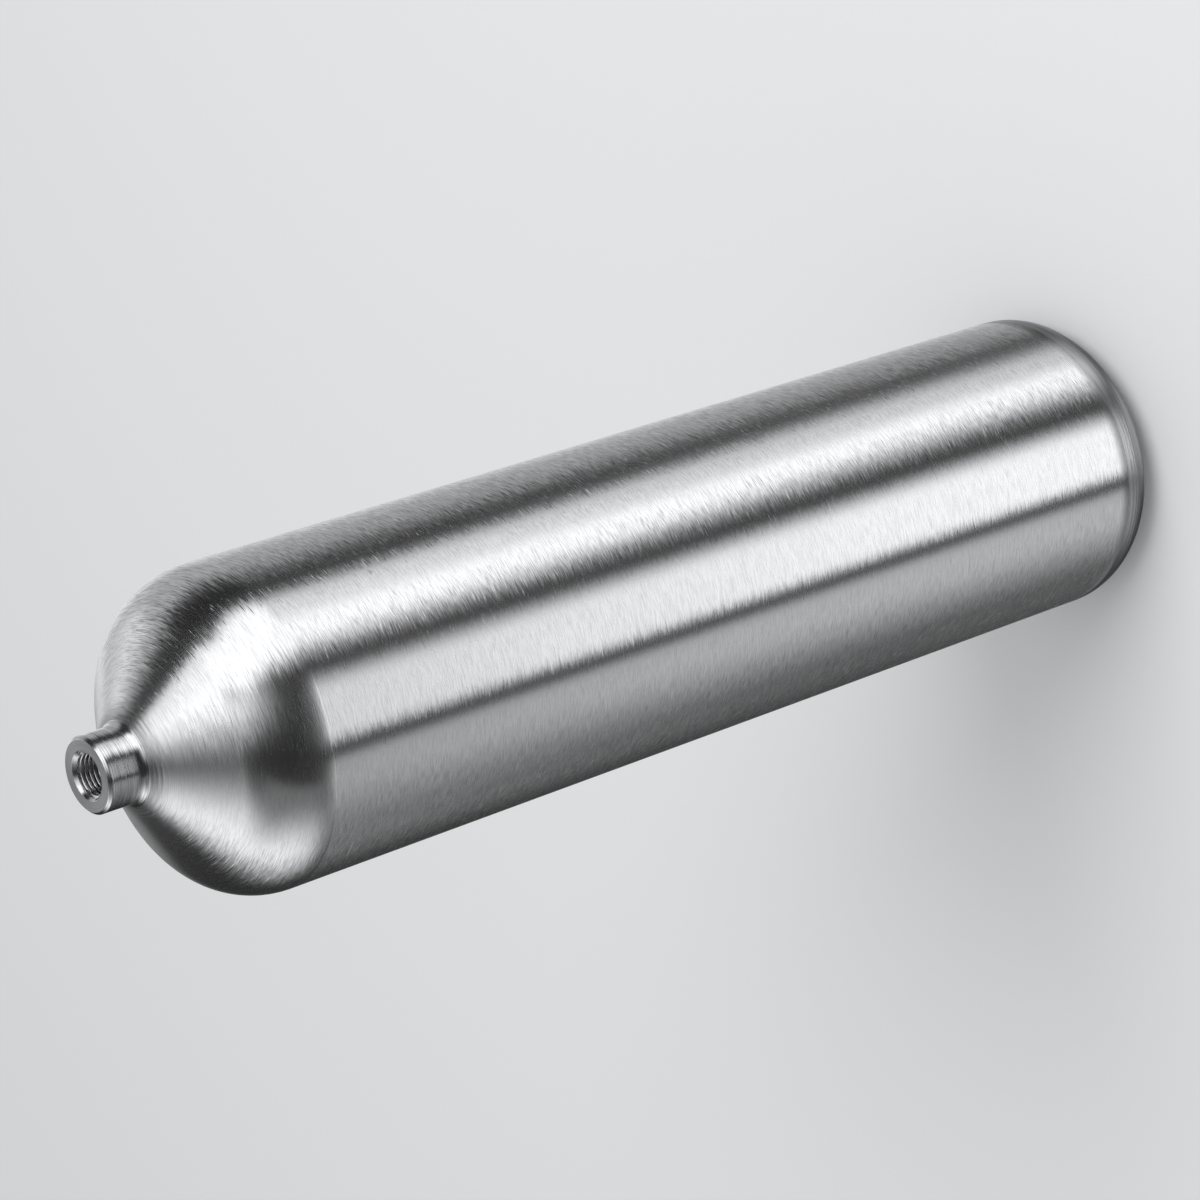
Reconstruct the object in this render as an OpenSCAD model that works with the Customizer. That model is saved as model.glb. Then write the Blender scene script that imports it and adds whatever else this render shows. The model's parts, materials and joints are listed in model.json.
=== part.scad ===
// Seamless aluminium air tank, one piece of metal: a plain cylinder with a closed, rounded base,
// a shoulder that bends over into a cone, and a short turned neck with a G 1/4 port.
// It stands on its base: the origin is the centre of the base, and +Z runs up the axis to the neck.

/* [Body] */
// Outside diameter of the cylinder
body_d = 92; // [80:1:140]
// Height from the base to the front face of the neck
overall_len = 368; // [200:1:700]
// Thickness of the cylinder's wall
wall = 5; // [2.5:0.5:8]
// Thickness of the flat base
base_t = 8; // [4:0.5:14]
// Outside radius round the edge of the base
base_edge_r = 13; // [10:0.5:20]

/* [Shoulder] */
// Outside radius of the bend from the cylinder into the cone
bend_r = 25; // [15:0.5:30]
// Turn of that bend, in degrees away from the cylinder's wall
bend_turn = 58; // [45:1:65]
// Extra turn of the inside bend, which thickens the cone toward the neck
inside_turn = 4; // [0:0.5:8]
// Radius of the hollow between the cone and the neck
neck_hollow_r = 2.5; // [1:0.5:5]

/* [Neck] */
// Outside diameter of the neck
neck_d = 21.6; // [19:0.1:26]
// Straight length of the neck, from the hollow to the front face
neck_len = 9.8; // [5:0.1:20]
// Width of the chamfer round the neck's front face
neck_chamfer = 0.8; // [0.3:0.1:1.5]

/* [Port] */
// Diameter of the port's wall, which is the major diameter of its pipe thread
port_d = 13.157; // [9.728:G 1/8, 13.157:G 1/4]
// Width of the countersink round the port's mouth
port_countersink = 0.4; // [0.2:0.1:0.8]

/* [Hidden] */
$fn = 128;

body_r = body_d / 2;
neck_r = neck_d / 2;
port_r = port_d / 2;

// The outside, worked out downward from the neck's front face.
neck_foot_z = overall_len - neck_len;
cone_top_r = neck_r + neck_hollow_r * (1 - cos(bend_turn));
cone_top_z = neck_foot_z - neck_hollow_r * sin(bend_turn);
cone_foot_r = body_r - bend_r * (1 - cos(bend_turn));
cone_foot_z = cone_top_z - (cone_foot_r - cone_top_r) / tan(bend_turn);
shoulder_z = cone_foot_z - bend_r * sin(bend_turn);
bend_centre_r = body_r - bend_r;
hollow_centre_r = neck_r + neck_hollow_r;

// The inside: its bend shares the outside bend's centre, and its cone runs on to the port.
bore_r = body_r - wall;
inner_edge_r = base_edge_r - wall;
inner_bend_r = bend_r - wall;
inner_turn = bend_turn + inside_turn;
inner_foot_r = bend_centre_r + inner_bend_r * cos(inner_turn);
inner_foot_z = shoulder_z + inner_bend_r * sin(inner_turn);
port_foot_z = inner_foot_z + (inner_foot_r - port_r) / tan(inner_turn);
// how far a cut runs past the face it opens
past = 1;

// Every profile below is half a section: x is the distance from the axis, and y is the height.

// A cylinder's half section from z0 to z1, with its lower edge rounded.
module rounded_drum(r, edge_r, z0, z1) {
    translate([0, z0]) square([r - edge_r, z1 - z0]);
    translate([0, z0 + edge_r]) square([r, z1 - z0 - edge_r]);
    translate([r - edge_r, z0 + edge_r]) circle(r = edge_r);
}

// The shoulder's half section: a bend that turns the wall inward, then the cone from its end.
module shoulder(r, foot_r, foot_z, top_r, top_z) {
    intersection() {
        translate([bend_centre_r, shoulder_z]) circle(r = r);
        translate([0, shoulder_z - r]) square([body_r, 2 * r]);
    }
    polygon([
        [0, shoulder_z], [bend_centre_r, shoulder_z],
        [foot_r, foot_z], [top_r, top_z], [0, top_z]
    ]);
}

// The hollow that leads the cone into the neck.
module neck_hollow() {
    difference() {
        polygon([
            [0, cone_top_z], [cone_top_r, cone_top_z],
            [hollow_centre_r, neck_foot_z], [0, neck_foot_z]
        ]);
        translate([hollow_centre_r, neck_foot_z]) circle(r = neck_hollow_r);
    }
}

module neck() {
    face_r = neck_r - neck_chamfer;
    chamfer_z = overall_len - neck_chamfer;
    polygon([
        [0, cone_top_z], [neck_r, cone_top_z], [neck_r, chamfer_z],
        [face_r, overall_len], [0, overall_len]
    ]);
}

module outside() {
    rounded_drum(body_r, base_edge_r, 0, shoulder_z);
    shoulder(bend_r, cone_foot_r, cone_foot_z, cone_top_r, cone_top_z);
    neck_hollow();
    neck();
}

// The port: a plain wall at the thread's major diameter, opened by the countersink.
module port() {
    mouth_r = port_r + port_countersink;
    sink_z = overall_len - port_countersink;
    end_z = overall_len + past;
    polygon([
        [0, port_foot_z], [port_r, port_foot_z], [port_r, sink_z],
        [mouth_r, overall_len], [mouth_r, end_z], [0, end_z]
    ]);
}

module inside() {
    rounded_drum(bore_r, inner_edge_r, base_t, shoulder_z);
    shoulder(inner_bend_r, inner_foot_r, inner_foot_z, port_r, port_foot_z);
    port();
}

module tank() {
    color([0.78, 0.78, 0.79])
        rotate_extrude()
            difference() {
                outside();
                inside();
            }
}

tank();
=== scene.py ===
# %% [markdown]
# # An aluminium air tank, brushed and bare
#
# The real tank is one piece of metal. A thick disc of aluminium is pressed into a cup, the open
# end is spun shut into a shoulder and a neck, and the neck is turned and threaded on a lathe.
# Then the outside is brushed while the tank spins. This lesson dresses that one piece: its exact
# profile, its thread, and one finish for each way in which the metal was worked.

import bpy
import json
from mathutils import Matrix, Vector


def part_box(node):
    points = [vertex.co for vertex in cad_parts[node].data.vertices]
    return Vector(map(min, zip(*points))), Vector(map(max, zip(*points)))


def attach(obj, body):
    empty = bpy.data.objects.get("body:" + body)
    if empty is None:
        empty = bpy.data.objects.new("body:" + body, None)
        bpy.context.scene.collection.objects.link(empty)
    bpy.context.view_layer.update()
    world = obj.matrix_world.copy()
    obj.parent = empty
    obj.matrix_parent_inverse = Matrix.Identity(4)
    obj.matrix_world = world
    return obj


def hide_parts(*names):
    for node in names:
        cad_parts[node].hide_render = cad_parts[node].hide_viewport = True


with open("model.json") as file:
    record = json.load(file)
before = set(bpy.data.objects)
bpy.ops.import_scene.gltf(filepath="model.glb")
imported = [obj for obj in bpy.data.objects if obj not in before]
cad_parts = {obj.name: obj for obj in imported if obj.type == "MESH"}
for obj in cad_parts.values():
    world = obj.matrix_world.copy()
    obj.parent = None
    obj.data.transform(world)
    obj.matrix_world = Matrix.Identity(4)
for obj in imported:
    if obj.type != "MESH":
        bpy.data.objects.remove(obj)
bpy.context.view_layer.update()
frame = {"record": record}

# %% [markdown]
# ## Sizes
#
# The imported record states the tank's exact walls as mounts: the barrel, the neck and the port.
# Reading them here keeps this scene true to the solid. Only the bends and the inside, which no
# mount states, are written again below. All sizes are in millimetres until the mesh is made.

# %% Sizes of the part
import json
import math

import bpy
import numpy as np
from mathutils import Quaternion, Vector

mounts = {mount["name"]: mount for mount in frame["record"]["mounts"]}


def wall_of(name):
    """Radius, lower end and upper end of a round mount's wall."""
    middle = mounts[name]["pos_m"][2] * 1000
    half = mounts[name]["dims"]["length_mm"] / 2
    return mounts[name]["dims"]["r_mm"], middle - half, middle + half


body_r, base_edge_r, shoulder_z = wall_of("barrel")
neck_r, neck_foot_z, chamfer_z = wall_of("neck")
port_r, port_foot_z, countersink_z = wall_of("port")
overall_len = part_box("tank")[1].z * 1000

# the outside's bend, its turn in degrees, and the hollow at the neck's foot
bend_r = 25.0
bend_turn = 58.0
neck_hollow_r = 2.5
# the inside: wall, base, and the turn of its own bend
wall = 5.0
base_t = 8.0
inside_turn = 62.0
print("radius", body_r, "length", round(overall_len, 2), "neck", neck_r, "port", port_r)

# %% [markdown]
# ## The camera
#
# The photograph looks at the tank from above its neck with a long lens, and shows it lying
# across the picture. The part stands upright on its base, so the camera keeps the same angle to
# the tank's axis and is rolled onto its side instead.

# %% Place the camera
# the distance in metres, the angles and the lens were found by fitting the tank's outline
camera_distance = 1.2688
camera_height_angle = math.radians(44.12)
look_down = math.radians(37.29)
look_aside = math.radians(0.0855)
camera_roll = math.radians(-108.39)
sensor_width = 36
lens = 119.01

camera = bpy.data.objects.new("camera", bpy.data.cameras.new("camera"))
bpy.context.scene.collection.objects.link(camera)
camera.location = (
    0,
    -camera_distance * math.cos(camera_height_angle),
    camera_distance * math.sin(camera_height_angle),
)
look = Vector((
    math.cos(look_down) * math.sin(look_aside),
    math.cos(look_down) * math.cos(look_aside),
    -math.sin(look_down),
))
camera.rotation_mode = "QUATERNION"
camera.rotation_quaternion = look.to_track_quat("-Z", "Y") @ Quaternion((0, 0, 1), camera_roll)
camera.data.sensor_width = sensor_width
camera.data.lens = lens
bpy.context.scene.camera = camera
bpy.context.scene.view_settings.view_transform = "Standard"
print("camera at", [round(value, 3) for value in camera.location], "with a lens of", lens, "mm")

# %% [markdown]
# ## Nodes and colours
#
# The studio and every finish below are small trees of nodes. One function adds a node, sets what
# it is given and links what it is given, so that a line of a tree reads as one step. Colours are
# written as the hex values of a paint chart, and turned to linear light by one function.


# %% Helpers for nodes and colours
def add(tree, kind, inputs=None, **settings):
    """Adds a node. Each input is a number, a colour, or the socket that feeds it."""
    node = tree.nodes.new("ShaderNode" + kind)
    for name, value in settings.items():
        setattr(node, name, value)
    for name, value in (inputs or {}).items():
        if isinstance(value, bpy.types.NodeSocket):
            tree.links.new(value, node.inputs[name])
        else:
            node.inputs[name].default_value = value
    return node


def chain(tree, operation, *values):
    """The values joined by one kind of sum, two at a time."""
    total = values[0]
    for value in values[1:]:
        total = add(tree, "Math", {0: total, 1: value}, operation=operation).outputs[0]
    return total


def linear(hex_colour):
    """An sRGB hex colour as linear red, green, blue and alpha."""
    parts = [int(hex_colour[i:i + 2], 16) / 255 for i in (1, 3, 5)]
    bent = [p / 12.92 if p <= 0.04045 else ((p + 0.055) / 1.055) ** 2.4 for p in parts]
    return (*bent, 1.0)


print("clean aluminium in linear light:", [round(value, 3) for value in linear("#ecedef")])

# %% [markdown]
# ## The studio
#
# Bare metal has almost no colour of its own: it shows the room. A photographer therefore hangs
# tall white panels round it with black gaps between them, and each panel becomes a stripe along
# the barrel. The panels here are soft-edged patches of the world, placed by bearing (0 is back
# toward the camera, 90 is the side that the picture shows on top) and by height angle. Only
# reflections see them. The pale floor is lit by a plain white room and one large soft lamp.

# %% Find the way that a reflection looks
world = bpy.data.worlds.new("studio")
bpy.context.scene.world = world
world.use_nodes = True
room = world.node_tree
room.nodes.clear()

way = add(room, "SeparateXYZ", {0: add(room, "TexCoord").outputs["Generated"]}).outputs
toward_camera = chain(room, "MULTIPLY", way["Y"], -1.0)
bearing = add(room, "Math", {0: way["X"], 1: toward_camera}, operation="ARCTAN2").outputs[0]
bearing = add(room, "Math", {0: bearing}, operation="DEGREES").outputs[0]
behind = add(room, "Math", {0: bearing}, operation="ABSOLUTE").outputs[0]
height = add(room, "Math", {0: way["Z"]}, operation="ARCSINE").outputs[0]
height = add(room, "Math", {0: height}, operation="DEGREES").outputs[0]
sideways = add(room, "Math", {0: way["X"]}, operation="ARCSINE").outputs[0]
sideways = add(room, "Math", {0: sideways}, operation="DEGREES").outputs[0]
print("the angles of a reflection take", len(room.nodes), "nodes")


# %% Soft edges, upright and leaning
def edge(value, dark, bright):
    """0 at dark and 1 at bright, in degrees, with a soft change between the two."""
    scale = {"Value": value, "From Min": dark, "From Max": bright}
    return add(room, "MapRange", scale, interpolation_type="SMOOTHSTEP").outputs["Result"]


def drift(amount, low, high):
    """The bearing, moved on by an amount between two heights, for edges that lean over."""
    return chain(room, "ADD", bearing, chain(room, "MULTIPLY", amount, edge(height, low, high)))


def leaning(amount, low, high):
    """The key panel's bearing, moved back again where its edge leans over the tank."""
    lean = chain(room, "MULTIPLY", amount, edge(height, low, high))
    return chain(room, "SUBTRACT", drift(16, -50, -20), lean)


# the key panel leans over as it rises, and its far side reaches further out near the floor
key_near = leaning(50, 51, 82)
key_side = leaning(48, 39, 63)
key_far_side = drift(18, -41, -31)
# the walls of the near side and the far side lean toward the back as they rise
high_side = drift(22, 10, 42)
far_side = drift(-22, 0, 45)
print("with leaning edges the room has", len(room.nodes), "nodes")

# %% Hang the front wall
panels = []


def panel(level, *sides):
    """A soft panel. Each side is an angle and two values of it, where it is dark and bright."""
    edges = [edge(angle, dark, bright) for angle, dark, bright in sides]
    panels.append(chain(room, "MULTIPLY", level, *edges))


# the lower end that the walls in front have in common
under = (height, -60, -46)
# the wide wall in front, which the barrel shows as its broad bright band
panel(2.70, (bearing, -38, -27), (bearing, 23, 2), (height, -28, -45), under)
print("with the front wall the room has", len(room.nodes), "nodes")

# %% Hang the key panel
# its bright core, the softer cloth beside it, and its top, which leans over
panel(0.88, (key_side, 34, 58), (key_side, 75, 61), (height, -26, -38), under)
panel(0.76, (key_side, 34, 58), (key_far_side, 104, 78), (height, -26, -38), under)
panel(1.28, (key_near, 36, 55), (key_side, 97, 85), (height, -34, -24))
print(len(panels), "panels with the key")

# %% Hang the near side
# a grey wall in three parts: low, at eye height and high
panel(0.95, (bearing, -116, -56), (bearing, -40, -48), (height, -24, -42), under)
panel(1.00, (high_side, -143, -97), (high_side, -58, -114), (height, -33, -4), (height, 78, 40))
panel(0.42, (high_side, -172, -122), (high_side, -46, -100), (height, 20, 60), (height, 86, 62))
# and its crisp dim end, which cuts off the dark patch on the shoulder
panel(0.14, (bearing, -48, -57), (bearing, -130, -80), (height, -30, -4), (height, 60, 42))
print(len(panels), "panels with the near side")

# %% Hang the ceiling and the far side
# low down a dark gap parts the ceiling from the key, and high up the two join
ceiling = ((sideways, -18, 18), (behind, 180, 140))
panel(1.20, *ceiling, (height, 14, 76), (height, 80, 68), (bearing, 46, 24))
panel(1.40, *ceiling, (height, 68, 80), (key_side, 97, 85))
# the far side, which grows brighter toward the rim
panel(0.40, (far_side, 98, 122), (bearing, 180, 168), (height, 52, 30), (height, -68, -50))
panel(0.45, (bearing, 138, 162), (bearing, 180, 168), (height, 4, -16), (height, -68, -50))
panel(0.40, (bearing, 134, 148), (bearing, 180, 166), (height, 0, 12), (height, 40, 22))
# the ground, and a strip behind that only the back of the tank shows
panel(0.80, (height, -66, -84))
panel(0.22, (behind, 162, 174), (height, -60, -40), (height, 58, 30))
print(len(panels), "panels in all")

# %% Show the panels to reflections only
# the gaps between the panels aren't quite black, and all else sees a plain white room
gap_light = 0.02
room_light = 0.66
panel_light = chain(room, "ADD", gap_light, *panels)
seen_by_metal = add(room, "LightPath").outputs["Is Glossy Ray"]
shown = add(room, "Mix", {0: seen_by_metal, 2: room_light, 3: panel_light}).outputs[0]
sky = add(room, "Background", {"Color": (1, 1, 1, 1), "Strength": shown})
add(room, "OutputWorld", {"Surface": sky.outputs[0]})
print("the finished room has", len(room.nodes), "nodes")

# %% [markdown]
# ## The floor
#
# The tank stands on a plain pale board, so that a soft shadow shows where it touches. A curved
# paper backdrop would do for one picture, but it has a front and a back, while a flat board looks
# the same from every side. One large lamp gives the shadow its blurred edge, and it is hidden
# from reflections, so that the metal shows the panels alone.

# %% Light the floor
lamp = bpy.data.objects.new("soft_lamp", bpy.data.lights.new("soft_lamp", "AREA"))
bpy.context.scene.collection.objects.link(lamp)
lamp.data.shape = "DISK"
lamp.data.size = 1.1
lamp.data.energy = 14
lamp.location = (0.75, -0.55, 1.5)
lamp.rotation_mode = "QUATERNION"
lamp.rotation_quaternion = (-lamp.location).to_track_quat("-Z", "Y")
lamp.visible_glossy = False
print("a lamp", round(lamp.data.size, 2), "m wide, at", [round(value, 2) for value in lamp.location])

# %% Lay the floor
# painted board, a matte white with hardly any shine, so wide that its end is never seen
floor_half = 40.0
around = ((-1, -1), (1, -1), (1, 1), (-1, 1))
floor_mesh = bpy.data.meshes.new("floor")
floor_mesh.from_pydata([(x * floor_half, y * floor_half, 0) for x, y in around], [], [(0, 1, 2, 3)])
floor = bpy.data.objects.new("floor", floor_mesh)
bpy.context.scene.collection.objects.link(floor)
floor.visible_glossy = False
board = bpy.data.materials.new("painted_white_board")
board.use_nodes = True
surface = board.node_tree.nodes["Principled BSDF"]
surface.inputs["Base Color"].default_value = linear("#e4e5e6")
surface.inputs["Roughness"].default_value = 0.9
surface.inputs["Specular IOR Level"].default_value = 0.2
floor_mesh.materials.append(board)
print("floor", 2 * floor_half, "m across")

# %% [markdown]
# ## The profile
#
# A turned part is drawn the way a lathe makes it: half a section, spun about the axis. The
# section is drawn with a pen that only knows two moves, a straight line and a bend of a given
# radius, so every arc is exact and runs smoothly into its neighbours. The edges that look sharp
# get a bend of a fifth of a millimetre, because no real edge is perfectly sharp and its tiny
# bend is what catches the light. Last come the fine grooves that a lathe tool leaves where it
# stops: each moves the outline in a little and turns its heading by the groove's slope.


# %% A pen for outlines
def turned(vector, angle):
    """A flat vector turned to the left by an angle."""
    c, s = math.cos(angle), math.sin(angle)
    return np.array((c * vector[0] - s * vector[1], s * vector[0] + c * vector[1]))


def straight(length, finish):
    """A straight move of the pen."""
    return length, 0.0, finish


def bend(radius, degrees, finish):
    """A move round an arc, to the left when the angle is positive."""
    return radius * math.radians(abs(degrees)), math.copysign(1 / radius, degrees), finish


def draw(start, heading, moves, longest=8.0, widest=4.5, marks=()):
    """Samples of an outline, each (distance, place, heading, finish of what comes next).

    Two samples are never more than longest millimetres or widest degrees apart, and there is one
    at each of the marks, which are distances along the outline."""
    samples = []
    place = np.array(start, float)
    heading = np.array(heading, float)
    travelled = 0.0
    for length, curve, finish in moves:
        turn = length * curve
        count = math.ceil(max(length / longest, abs(math.degrees(turn)) / widest, 2))
        steps = set(np.linspace(0, length, count + 1)[:-1])
        steps |= {mark - travelled for mark in marks if 0 < mark - travelled < length}
        for step in sorted(steps) + [length]:
            if curve:
                ahead = math.sin(step * curve) / curve
                aside = (1 - math.cos(step * curve)) / curve
            else:
                ahead, aside = step, 0.0
            spot = place + heading * ahead + turned(heading, math.pi / 2) * aside
            facing = turned(heading, step * curve)
            if step < length:
                samples.append((travelled + step, spot, facing, finish))
        place, heading = spot, facing
        travelled += length
    samples.append((travelled, place, heading, finish))
    return samples


print("the shoulder's bend is", round(bend(bend_r, bend_turn, "shoulder")[0], 2), "mm long")

# %% Fine grooves
def scored(samples, grooves):
    """The outline with fine grooves in it, each given as its distance, width and depth."""
    cut = []
    for distance, place, heading, finish in samples:
        sink, slope = 0.0, 0.0
        for at, width, depth in grooves:
            reach = (distance - at) / width
            dip = depth * math.exp(-reach * reach)
            sink += dip
            slope += 2 * reach / width * dip
        out = np.array((heading[1], -heading[0]))
        cut.append((distance, place - out * sink, turned(heading, -math.atan(slope)), finish))
    return cut


level_line = [(0.0, np.array((0.0, 0.0)), np.array((1.0, 0.0)), "base")]
sunk_line = scored(level_line, [(0.0, 0.25, 0.05)])
print("the middle of a groove 0.05 mm deep moves in by", round(sunk_line[0][1][1], 3), "mm")

# %% Measure along the outside
# each tiny bend turns 45 degrees and takes a trim off the straights beside it
edge_r = 0.2
edge_trim = edge_r * math.tan(math.radians(45 / 2))
chamfer = overall_len - chamfer_z
mouth_r = port_r + overall_len - countersink_z
turn = math.radians(bend_turn)
cone_foot_r = body_r - bend_r * (1 - math.cos(turn))
cone_top_r = neck_r + neck_hollow_r * (1 - math.cos(turn))
cone_len = (cone_foot_r - cone_top_r) / math.sin(turn)

# the brush stops just short of the rounded edge
unbrushed = 2.0
print("the cone is", round(cone_len, 2), "mm long and the chamfer", round(chamfer, 2), "mm")

# %% Choose the grooves
# the tool left a line at both ends of the brushing and at the neck's foot, and a few rings on
# the base's edge and on the cone beside the neck; each groove is its distance along the outline,
# its width and its depth
edge_end = body_r - base_edge_r + base_edge_r * math.pi / 2
brush_start = edge_end + unbrushed
barrel_end = edge_end + shoulder_z - base_edge_r
neck_start = barrel_end + bend_r * turn + cone_len + neck_hollow_r * turn
grooves = [(brush_start, 0.28, 0.045), (barrel_end, 0.30, 0.006), (neck_start + 0.2, 0.25, 0.05)]
grooves += [(brush_start - back, 0.22, 0.045) for back in (2.2, 3.8, 5.6)]
cone_end = barrel_end + bend_r * turn + cone_len
grooves += [(cone_end - back, 0.36, 0.055) for back in (0.9, 2.2, 3.6)]
# the samples that one groove needs, in widths from its middle
steps_of_groove = (-2.2, -1.5, -1, -0.5, 0, 0.5, 1, 1.5, 2.2)
marks = [at + width * step for at, width, _ in grooves for step in steps_of_groove]
print(len(grooves), "tool lines, the deepest", max(depth for *_, depth in grooves), "mm")

# %% Draw the outside
outside = draw((0, 0), (1, 0), [
    straight(body_r - base_edge_r, "base"),
    bend(base_edge_r, 90, "edge"),
    straight(unbrushed, "edge"),
    straight(shoulder_z - base_edge_r - unbrushed, "barrel"),
    bend(bend_r, bend_turn, "shoulder"),
    straight(cone_len, "shoulder"),
    bend(neck_hollow_r, -bend_turn, "neck"),
    straight(chamfer_z - neck_foot_z - edge_trim, "neck"),
    bend(edge_r, 45, "neck"),
    straight(chamfer * math.sqrt(2) - 2 * edge_trim, "neck"),
    bend(edge_r, 45, "neck"),
    straight(neck_r - chamfer - mouth_r - 2 * edge_trim, "face"),
    bend(edge_r, 45, "face"),
], marks=marks)
outside = scored(outside, grooves)
print("the pen ends at", outside[-1][1].round(3), "after", round(outside[-1][0], 1), "mm")

# %% [markdown]
# ## The thread
#
# The port takes a G 1/4 pipe fitting, whose thread has 19 turns to the inch, flanks at 55
# degrees and rounded crests. The solid's bore is a plain wall at the thread's widest diameter.
# Here the wall carries the real ridge: its radius depends on height and angle together, so the
# ridge climbs by one pitch in each turn, and a wide countersink cuts its first turns away.

# %% Cut the thread
thread_pitch = 25.4 / 19
# from the widest diameter, 13.157 mm, in to the crests' 11.445 mm, on one side
thread_depth = 0.856
rows_per_turn = 12
thread_row = thread_pitch / rows_per_turn
# how much steeper the thread's flanks are than a zigzag from root to crest
steeper = 1.25
# how many points each ring of the tank has
sections = 216
angles = np.linspace(0, 2 * math.pi, sections, endpoint=False)


def port_wall(z):
    """The port's radius at every angle, at one height.

    The ridge is a zigzag, steepened and then rounded at its crest and at its root."""
    phase = (z / thread_pitch - angles / (2 * math.pi)) % 1
    wave = np.clip((1 - np.abs(4 * phase - 2)) * steeper, -1, 1)
    ridge = (1 + np.sin(wave * math.pi / 2)) / 2
    runs_out = min(1, (z - port_foot_z) / thread_pitch)
    thread = port_r - thread_depth * ridge * runs_out
    return np.maximum(thread, mouth_r - (overall_len - z))


def port_facing(z):
    """The way in which the port's wall faces at every angle: outward, round the axis and upward."""
    wall_r = port_wall(z)
    climb = (port_wall(z + thread_row / 4) - port_wall(z - thread_row / 4)) / (thread_row / 2)
    sideways = (np.roll(wall_r, -1) - np.roll(wall_r, 1)) / (2 * wall_r * (angles[1] - angles[0]))
    size = np.sqrt(1 + climb ** 2 + sideways ** 2)
    return -1 / size, sideways / size, climb / size


mouth_z = outside[-1][1][1]
thread_rows = np.arange(mouth_z - thread_row / 2, port_foot_z, -thread_row)
print(len(thread_rows), "rows of thread, crest radius", round(port_r - thread_depth, 3))

# %% [markdown]
# ## Spin the profile
#
# Each sample of the profile becomes a ring of points, and neighbouring rings are joined by
# four-sided faces. The ring keeps the exact direction in which the profile faces, and the mesh is
# shaded with it, so reflections run over the bends without a flicker. A modifier could spin the
# profile too, but it would lose those directions. The finish of a stretch picks its material.

# %% Draw the inside
# it is hidden but for a glimpse down the port, so its samples lie further apart
inner_turn = math.radians(inside_turn)
inner_bend_r = bend_r - wall
inner_edge_r = base_edge_r - wall
inner_foot_r = body_r - bend_r + inner_bend_r * math.cos(inner_turn)

inside = draw((port_r, port_foot_z), (math.sin(inner_turn), -math.cos(inner_turn)), [
    straight((inner_foot_r - port_r) / math.sin(inner_turn), "inside"),
    bend(inner_bend_r, -inside_turn, "inside"),
    straight(shoulder_z - base_t - inner_edge_r, "inside"),
    bend(inner_edge_r, -90, "inside"),
    straight(body_r - wall - inner_edge_r, "inside"),
], longest=20, widest=9)
print("the inside ends at", inside[-1][1].round(3))

# %% Turn the outlines into rings
everywhere = np.ones(sections)


def ring(sample):
    """A sample of a profile as a ring: its radius, height, facing and finish."""
    _, at, way, finish = sample
    facing = (way[1] * everywhere, 0 * everywhere, -way[0] * everywhere)
    return at[0] * everywhere, at[1], facing, finish


rings = [ring(sample) for sample in outside]
rings += [(port_wall(z), z, port_facing(z), "port") for z in thread_rows]
rings += [ring(sample) for sample in inside]
print(len(rings), "rings")

# %% Place the points
mm = 0.001
# a ring narrower than this is a single point on the axis
on_axis = 1e-6
points = []
facings = []
cosines, sines = np.cos(angles), np.sin(angles)
for radius, z, (out, side, up), _ in rings:
    if radius[0] < on_axis:
        points.append([(0, 0, z * mm)])
        facings.append([(0, 0, up[0])])
        continue
    points.append(np.stack([radius * cosines, radius * sines, z * everywhere], 1) * mm)
    facings.append(np.stack([out * cosines - side * sines, out * sines + side * cosines, up], 1))

first = np.cumsum([0] + [len(row) for row in points])
print(first[-1], "points")

# %% Join the rings
finishes = ["base", "edge", "barrel", "shoulder", "neck", "face", "port", "inside"]
faces = []
picks = []
for i in range(len(rings) - 1):
    for j in range(sections):
        k = (j + 1) % sections
        low = [first[i] + j, first[i] + k] if len(points[i]) > 1 else [first[i]]
        high = [first[i + 1] + k, first[i + 1] + j] if len(points[i + 1]) > 1 else [first[i + 1]]
        faces.append(low + high)
        picks.append(finishes.index(rings[i][3]))

tank_mesh = bpy.data.meshes.new("brushed_tank")
tank_mesh.from_pydata(np.concatenate(points).tolist(), [], faces)
tank_mesh.polygons.foreach_set("material_index", picks)
tank_mesh.shade_smooth()
tank_mesh.normals_split_custom_set_from_vertices(np.concatenate(facings).tolist())
print(len(tank_mesh.polygons), "faces")

# %% [markdown]
# ## A map of the skin
#
# Other programs show a finish as a picture wrapped round the piece, and a map says which part of
# the picture goes where. An automatic map cuts a tank into many small scraps, and the brushing
# would break at every cut. Here the skin is unrolled as sheet metal would be: every ring becomes
# one straight line, and the long sheet is cut into four strips that lie side by side.

# %% Cut the skin into strips
# the gap is a share of a strip's width, and the inside, which is hidden, gets a small share of room
strips = 4
strip_gap = 0.004
hidden_share = 0.05
steps = [0.0]
for (radius_a, z_a, _, finish), (radius_b, z_b, _, _) in zip(rings, rings[1:]):
    share = hidden_share if finish == "inside" else 1
    steps.append(share * math.hypot(radius_b[0] - radius_a[0], z_b - z_a))
along = np.cumsum(steps)
# a strip ends with a whole step, so each has room for one step more than its share
strip_len = along[-1] / strips + max(steps)
strip_of = []
strip_start = [0.0]
for i in range(len(rings) - 1):
    if along[i + 1] - strip_start[-1] > strip_len:
        strip_start.append(along[i])
    strip_of.append(len(strip_start) - 1)
print(len(strip_start), "strips of", round(strip_len, 1), "mm")

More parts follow.
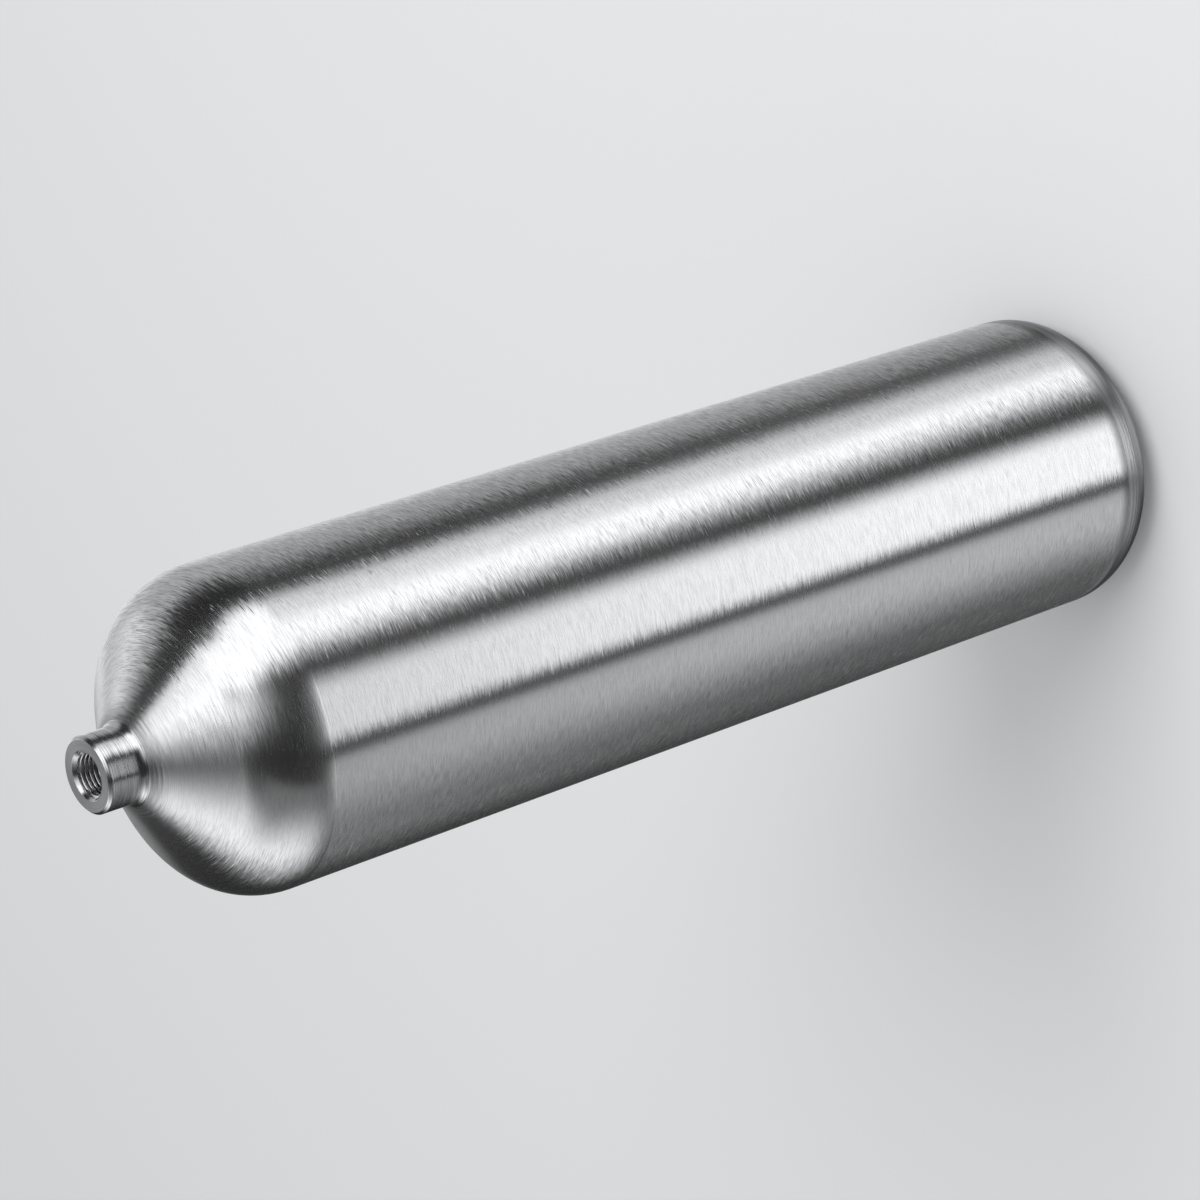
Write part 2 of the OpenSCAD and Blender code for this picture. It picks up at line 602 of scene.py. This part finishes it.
# %% Lay the strips side by side
corners = []
for i in range(len(rings) - 1):
    strip = strip_of[i]
    low = (along[i] - strip_start[strip]) / strip_len
    high = (along[i + 1] - strip_start[strip]) / strip_len
    for j in range(sections):
        across = [strip_gap + (1 - 2 * strip_gap) * t / sections for t in (j, j + 1)]
        left, right = [(strip + share) / strips for share in across]
        low_side = [(left, low), (right, low)] if len(points[i]) > 1 else [(left, low)]
        high_side = [(right, high), (left, high)] if len(points[i + 1]) > 1 else [(left, high)]
        corners += low_side + high_side
skin_map = tank_mesh.uv_layers.new(name="OFBake")
skin_map.uv.foreach_set("vector", np.array(corners, np.float32).ravel())
print(len(corners), "corners on the map")

# %% [markdown]
# ## Brushed aluminium
#
# Aluminium is a bright, nearly neutral metal. Its finish is only the shape of its scratches. A
# brush held against a spinning tank leaves scratches that run round the axis, a few millimetres
# long and a few hundredths wide. Light that meets them is spread along the axis and hardly at
# all round it, so each panel of the studio becomes a long crisp stripe. The shader does the
# same: its shine is stretched across the grain. On top of that the grain itself is drawn, with
# noise that is pulled out round the axis. It tips the surface to the side, most scratches very
# little and a few a lot, which frays the edges of the stripes and leaves bright hairs in a dark
# stripe and dark hairs in a bright one. Real scratches are too fine for the picture, so they are
# drawn about a quarter of a millimetre wide.


# %% A grain that runs round the axis
def grain(tree, place, length, width, detail=2.0, shift=0.0):
    """Noise whose streaks run round the axis, with the size in millimetres of one streak."""
    xyz = add(tree, "SeparateXYZ", {0: place}).outputs
    flat = add(tree, "VectorMath", {0: place, 1: (1, 1, 0)}, operation="MULTIPLY").outputs[0]
    radius = add(tree, "VectorMath", {0: flat}, operation="LENGTH").outputs["Value"]
    across, around = 1 / (width * mm), 1 / (length * mm)
    streak = add(tree, "CombineXYZ", {
        0: chain(tree, "MULTIPLY", radius, across),
        1: chain(tree, "ADD", chain(tree, "MULTIPLY", xyz["Z"], across), shift),
        2: chain(tree, "MULTIPLY", xyz["X"], around),
    }).outputs[0]
    turn_along = chain(tree, "MULTIPLY", xyz["Y"], around)
    noise = {"Vector": streak, "W": turn_along, "Scale": 1.0, "Detail": detail, "Roughness": 0.55}
    return add(tree, "TexNoise", noise, noise_dimensions="4D").outputs["Fac"]


# a scratch on the barrel, its length and its width as drawn
barrel_scratch = (3.6, 0.25)
print("end to end,", round(math.tau * body_r / barrel_scratch[0]), "scratches go round the barrel")


# %% A brush that wanders
wander_size = 7.0


def wandered(tree, place, stray):
    """The place, moved up and down a little, as by a brush that is held by hand."""
    middle = (0.5, 0.5, 0.5)
    up_and_down = (0, 0, stray * mm)
    slow = {"Vector": place, "Scale": 1 / (wander_size * mm), "Detail": 1.0}
    drifts = add(tree, "TexNoise", slow).outputs["Color"]
    drifts = add(tree, "VectorMath", {0: drifts, 1: middle}, operation="SUBTRACT").outputs[0]
    drifts = add(tree, "VectorMath", {0: drifts, 1: up_and_down}, operation="MULTIPLY").outputs[0]
    return add(tree, "VectorMath", {0: place, 1: drifts}, operation="ADD").outputs[0]


print("the scratches sway once in about", wander_size, "mm")


# %% A strip where the brushing is calm
# it lies a little to the -X side of the middle
calm_x = -0.2 * body_r
calm_half = 0.3 * body_r
lively_half = 0.9 * body_r


def toward_sides(tree, place, calm, sides):
    """A value that goes from calm to sides between the calm strip and the two sides."""
    x = add(tree, "SeparateXYZ", {0: place}).outputs["X"]
    from_calm = chain(tree, "SUBTRACT", x, calm_x * mm)
    from_calm = add(tree, "Math", {0: from_calm}, operation="ABSOLUTE").outputs[0]
    across = {"Value": from_calm, "From Min": calm_half * mm, "From Max": lively_half * mm}
    return add(tree, "MapRange", {**across, "To Min": calm, "To Max": sides}).outputs[0]


print("the calm strip is", round(2 * calm_half, 1), "mm wide")


# %% Stretches that get rougher, and some darker with painted shade
def roughened_and_shaded(tree, place, fade, colour, polish):
    """The colour and the roughness, changed from one height to another.

    The four values are the two heights in millimetres, how much rougher the metal gets, and how much
    darker it is painted as shade."""
    low, high, rougher, darker = fade
    z = add(tree, "SeparateXYZ", {0: place}).outputs["Z"]
    rise = {"Value": z, "From Min": low * mm, "From Max": high * mm}
    rise = add(tree, "MapRange", rise, interpolation_type="SMOOTHSTEP").outputs[0]
    shade = {0: chain(tree, "MULTIPLY", rise, darker), 6: colour, 7: (0, 0, 0, 1)}
    colour = add(tree, "Mix", shade, data_type="RGBA").outputs[2]
    return colour, chain(tree, "ADD", polish, chain(tree, "MULTIPLY", rise, rougher))


# the brush pressed less and less up the cone, so the metal there gets rougher; the last few
# millimetres of the cone by the neck, and of the barrel above the rounded edge, are rougher and
# darker: painted shade
cone_top_z = neck_foot_z - neck_hollow_r * math.sin(turn)
up_the_cone = (shoulder_z + bend_r * math.sin(turn), cone_top_z, 0.07, 0.0)
painted_shade_by_neck = (cone_top_z - 3.4, cone_top_z + 0.2, 0.12, 0.40)
brush_foot_z = base_edge_r + unbrushed
painted_shade_over_edge = (brush_foot_z + 4.0, brush_foot_z - 0.5, 0.10, 0.42)
print("the brush lifts off from", round(painted_shade_over_edge[0], 2), "down to", round(painted_shade_over_edge[1], 2), "mm")


# %% Tip the surface
def tipped(tree, way, noise, amount):
    """A push along a direction. Most scratches lean very little and a few lean far."""
    lean = chain(tree, "SUBTRACT", noise, 0.5)
    size = add(tree, "Math", {0: lean}, operation="ABSOLUTE").outputs[0]
    push = chain(tree, "MULTIPLY", lean, size, amount)
    return add(tree, "VectorMath", {0: way, "Scale": push}, operation="SCALE").outputs[0]


# scratches tip the surface mostly round the axis, and only this share of it along the axis
axial_share = 0.2


def tipped_facing(tree, round_axis, fine, other, tip):
    """The way in which the metal faces, tipped by one grain round the axis and another along it."""
    facing = add(tree, "NewGeometry").outputs["Normal"]
    crossed = {0: facing, 1: round_axis}
    upward = add(tree, "VectorMath", crossed, operation="CROSS_PRODUCT").outputs[0]
    axial_tip = chain(tree, "MULTIPLY", tip, axial_share)
    for push in (tipped(tree, round_axis, fine, tip), tipped(tree, upward, other, axial_tip)):
        facing = add(tree, "VectorMath", {0: facing, 1: push}, operation="ADD").outputs[0]
    return add(tree, "VectorMath", {0: facing}, operation="NORMALIZE").outputs[0]


print("along the axis the tips are 1 /", round(1 / axial_share), "of those round it")


# %% Aluminium that was worked round its axis
# how much of the noise is drawn as darker lines, and how much as deep hairs
line_levels = {"From Min": 0.56, "From Max": 0.40}
hair_levels = {"From Min": 0.60, "From Max": 0.72}
hair_roughness = 0.10
# a quarter turn lays the stretched shine across the scratches
quarter_turn = 0.25


def aluminium(name, colours, roughness, stretch, scratch, sway, marks, stray=0.0, roughening_and_shade=()):
    """Aluminium whose scratches run round the axis.

    colours are its hex colours on and between the scratches, and scratch the length and width of
    one in millimetres. sway is how far the scratches tip the surface, and marks how strongly they
    show, each on the calm strip and at the sides. stray is how many millimetres the tool wandered."""
    material = bpy.data.materials.new(name)
    material.use_nodes = True
    tree = material.node_tree
    metal = tree.nodes["Principled BSDF"]
    place = add(tree, "TexCoord").outputs["Object"]
    held = wandered(tree, place, stray)

    # one grain for the fine lines, a shorter one beside it, and a long thin one for deep hairs
    length, width = scratch
    fine = grain(tree, held, length, width)
    other = grain(tree, held, length * 0.6, width, shift=37.0)
    deep = grain(tree, held, length * 1.5, width * 0.8, detail=1.0, shift=71.0)
    lines = add(tree, "MapRange", {"Value": fine, **line_levels}).outputs[0]
    hairs = add(tree, "MapRange", {"Value": deep, **hair_levels}).outputs[0]
    shown = toward_sides(tree, place, *marks)
    light, dark = [linear(hex_colour) for hex_colour in colours]
    between = chain(tree, "MULTIPLY", lines, shown)
    colour = add(tree, "Mix", {0: between, 6: light, 7: dark}, data_type="RGBA").outputs[2]
    polish = chain(tree, "ADD", roughness, chain(tree, "MULTIPLY", hairs, shown, hair_roughness))
    # each of these stretches makes the metal rougher, and some also darken it as painted shade
    for fade in roughening_and_shade:
        colour, polish = roughened_and_shaded(tree, place, fade, colour, polish)

    round_axis = add(tree, "Tangent", direction_type="RADIAL", axis="Z").outputs[0]
    tip = toward_sides(tree, place, *sway)
    facing = tipped_facing(tree, round_axis, fine, other, tip)
    tree.links.new(colour, metal.inputs["Base Color"])
    tree.links.new(polish, metal.inputs["Roughness"])
    tree.links.new(facing, metal.inputs["Normal"])
    tree.links.new(round_axis, metal.inputs["Tangent"])
    metal.inputs["Metallic"].default_value = 1.0
    metal.inputs["Anisotropic"].default_value = stretch
    metal.inputs["Anisotropic Rotation"].default_value = quarter_turn
    return material


print("a hair is", hair_roughness, "rougher than the metal beside it")

# %% [markdown]
# ## One finish for each tool
#
# The tank shows what the press, the lathe, the tap and the brush left on it, eight surfaces in
# all. Each could be a photograph of metal, but that would blur close up and repeat itself. Here
# all eight are the same metal with other numbers, because on the real tank only the tool changed
# from one to the next. Roughness spreads the shine, stretch pulls it out along the axis, and the
# length and width of a scratch set the grain.

# %% Give each stretch its finish
# hex colours on and between the scratches
pale, grey, skin = ("#f4f5f7", "#c4c5c7"), ("#dddee0", "#cfd0d3"), ("#bdbec1", "#a6a7aa")
cut, dull = ("#e6e6e8", "#dadadd"), ("#c4c5c8", "#b8b9bc")
even = (1, 1)
brushed = {
    # pressed against a die: soft and even, with hardly any direction
    "base": aluminium(
        "pressed_aluminium_base", grey, roughness=0.34, stretch=0.3, scratch=(9.0, 0.5),
        sway=(1.2, 1.2), marks=even),
    # turned once and not brushed: greyer, with long faint rings
    "edge": aluminium(
        "turned_aluminium_edge", skin, roughness=0.36, stretch=0.4, scratch=(24.0, 0.45),
        sway=(1.0, 1.0), marks=even),
    # brushed by hand while the tank spins: short scratches, and a shine pulled out along the axis
    # the last few millimetres above the rounded edge are darkened with painted shade
    "barrel": aluminium(
        "brushed_aluminium_barrel", pale, roughness=0.26, stretch=0.93, scratch=barrel_scratch,
        sway=(0.7, 3.2), marks=(0.4, 0.9), stray=1.0, roughening_and_shade=(painted_shade_over_edge,)),
    # brushed over the curve with less push: longer scratches, and a shine pulled out less
    # the last few millimetres of the cone, by the neck, are darkened with painted shade
    "shoulder": aluminium(
        "brushed_aluminium_shoulder", pale, roughness=0.24, stretch=0.8, scratch=(5.0, 0.27),
        sway=(0.8, 2.4), marks=(0.45, 0.8), stray=1.0, roughening_and_shade=(up_the_cone, painted_shade_by_neck)),
    # turned with a sharp tool: smooth and bright, with rings that run right round
    "neck": aluminium(
        "turned_aluminium_neck", pale, roughness=0.22, stretch=0.45, scratch=(40.0, 0.38),
        sway=(1.3, 1.3), marks=(0.9, 0.9)),
    # cut flat across the end: a quiet grey ring
    "face": aluminium(
        "faced_aluminium_end", grey, roughness=0.34, stretch=0.5, scratch=(8.0, 0.24),
        sway=(1.0, 1.0), marks=even),
    # cut by a tap with oil: clean flanks that show crisp light and dark
    "port": aluminium(
        "tapped_aluminium_thread", cut, roughness=0.20, stretch=0.3, scratch=(12.0, 0.30),
        sway=(0.4, 0.4), marks=even),
    # drawn over a punch and never touched again: dull
    "inside": aluminium(
        "drawn_aluminium_inside", dull, roughness=0.40, stretch=0.3, scratch=(9.0, 0.6),
        sway=(1.2, 1.2), marks=even),
}
for finish in finishes:
    tank_mesh.materials.append(brushed[finish])
print([material.name for material in tank_mesh.materials])

# %% [markdown]
# ## Put the piece in the frame
#
# The spun mesh has the shape of the imported solid, so it takes the solid's place in the picture,
# while the solid stays in the simulation.

# %% Seat the tank and finish
tank = bpy.data.objects.new("brushed_tank", tank_mesh)
bpy.context.scene.collection.objects.link(tank)
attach(tank, "root")
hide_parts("tank")
